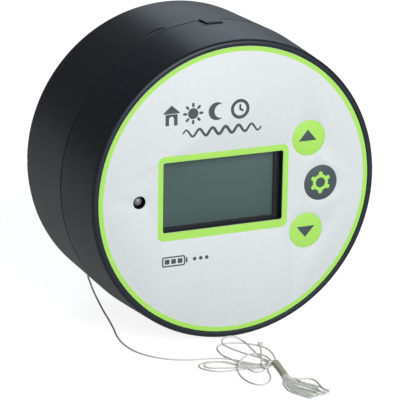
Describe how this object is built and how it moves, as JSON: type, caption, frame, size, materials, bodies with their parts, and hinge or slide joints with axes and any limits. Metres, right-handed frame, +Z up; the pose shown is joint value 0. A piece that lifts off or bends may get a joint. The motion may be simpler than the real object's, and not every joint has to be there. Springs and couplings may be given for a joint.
{
  "type": "automatic coop door opener",
  "caption": "Round wall-mounted poultry coop door opener with display, keys, light sensor, geared spool and a long pull cord.",
  "frame": {"origin": "centre of the flat back face that lies on the coop wall", "axes": "+Y out of the back towards the wall, -Y towards the person who reads the face, +Z up, +X to the right as the face is read"},
  "size_m": [0.155, 0.2125, 0.155],
  "materials": {
    "housing": "satin moulded, fine texture",
    "foil": "printed polycarbonate foil, fine silver grain",
    "lime_print": "printed polycarbonate foil",
    "dark_print": "printed polycarbonate foil",
    "pane": "clear acrylic, polished",
    "display": "unlit reflective liquid crystal cell",
    "insert": "moulded",
    "board": "solder mask",
    "natural_plastic": "uncoloured acetal, moulded",
    "rubber": "soft, matt",
    "steel": "zinc plated",
    "tin": "tin plated strip",
    "lens": "dark clear epoxy, polished",
    "cell_sleeve": "shrunk film sleeve",
    "red_wire": "wire insulation",
    "black_wire": "wire insulation",
    "cord": "fine braided polyester",
    "tape": "flat twist tape"
  },
  "bodies": {
    "housing": {"front_shell": "housing", "face_foil": "foil", "window_pane": "pane", "display_frame": "insert", "display_glass": "display", "contact_strip_upper": "rubber", "contact_strip_lower": "rubber", "control_board": "board", "board_screw_1": "steel", "board_screw_2": "steel", "board_screw_3": "steel", "up_switch": "insert", "settings_switch": "insert", "down_switch": "insert", "light_sensor": "lens", "board_header": "natural_plastic", "rear_shell": "housing", "housing_seal": "rubber", "cord_bush": "natural_plastic", "chassis_plate": "insert", "chassis_screw_1": "steel", "chassis_screw_2": "steel", "chassis_screw_3": "steel", "battery_tray": "insert", "battery_1": "cell_sleeve", "battery_2": "cell_sleeve", "battery_3": "cell_sleeve", "battery_4": "cell_sleeve", "contact_positive": "tin", "contact_negative": "tin", "contact_bridge_1": "tin", "contact_bridge_2": "tin", "contact_bridge_3": "tin", "gearbox": "steel", "motor_can": "steel", "idler_pin": "steel", "spool_axle": "steel", "slack_switch": "insert", "loom_plug": "natural_plastic", "battery_lead_red": "red_wire", "battery_lead_black": "black_wire", "motor_lead_red": "red_wire", "motor_lead_black": "black_wire", "cord_inside": "cord", "cord_run": "cord", "cord_loops": "cord", "cord_fan": "cord", "hank_tie": "tape", "cord_knot": "cord"},
    "up_button": {"up_key": "lime_print", "up_pusher": "natural_plastic"},
    "settings_button": {"settings_key": "dark_print", "settings_pusher": "natural_plastic"},
    "down_button": {"down_key": "lime_print", "down_pusher": "natural_plastic"},
    "reel": {"spool": "natural_plastic", "spool_winding": "cord"},
    "idler": {"idler_gear": "natural_plastic"},
    "pinion": {"motor_pinion": "natural_plastic"},
    "lever": {"slack_lever": "natural_plastic"}
  },
  "joints": [
    {"name": "up_key_press", "type": "slide", "parent": "housing", "child": "up_button", "axis": [0, 1, 0], "range_m": [0, 0.0004], "stiffness_N_per_m": 2500},
    {"name": "settings_key_press", "type": "slide", "parent": "housing", "child": "settings_button", "axis": [0, 1, 0], "range_m": [0, 0.0004], "stiffness_N_per_m": 2500},
    {"name": "down_key_press", "type": "slide", "parent": "housing", "child": "down_button", "axis": [0, 1, 0], "range_m": [0, 0.0004], "stiffness_N_per_m": 2500},
    {"name": "spool_spin", "type": "hinge", "parent": "housing", "child": "reel", "pos_m": [0.013, -0.0099, -0.026], "axis": [0, 1, 0], "continuous": true},
    {"name": "idler_spin", "type": "hinge", "parent": "housing", "child": "idler", "pos_m": [0.03566, -0.018, -0.01543], "axis": [0, 1, 0], "continuous": true},
    {"name": "pinion_spin", "type": "hinge", "parent": "housing", "child": "pinion", "pos_m": [0.03566, -0.0205, 0.00557], "axis": [0, 1, 0], "continuous": true},
    {"name": "slack_lever_swing", "type": "hinge", "parent": "housing", "child": "lever", "pos_m": [-0.008, -0.0099, -0.062], "axis": [0, -1, 0], "range_deg": [0, 10], "stiffness_Nm_per_rad": 0.02}
  ],
  "couplings": [
    {"joint": "idler_spin", "follows": "spool_spin", "ratio": -3.1667},
    {"joint": "pinion_spin", "follows": "spool_spin", "ratio": 7.9167}
  ]
}
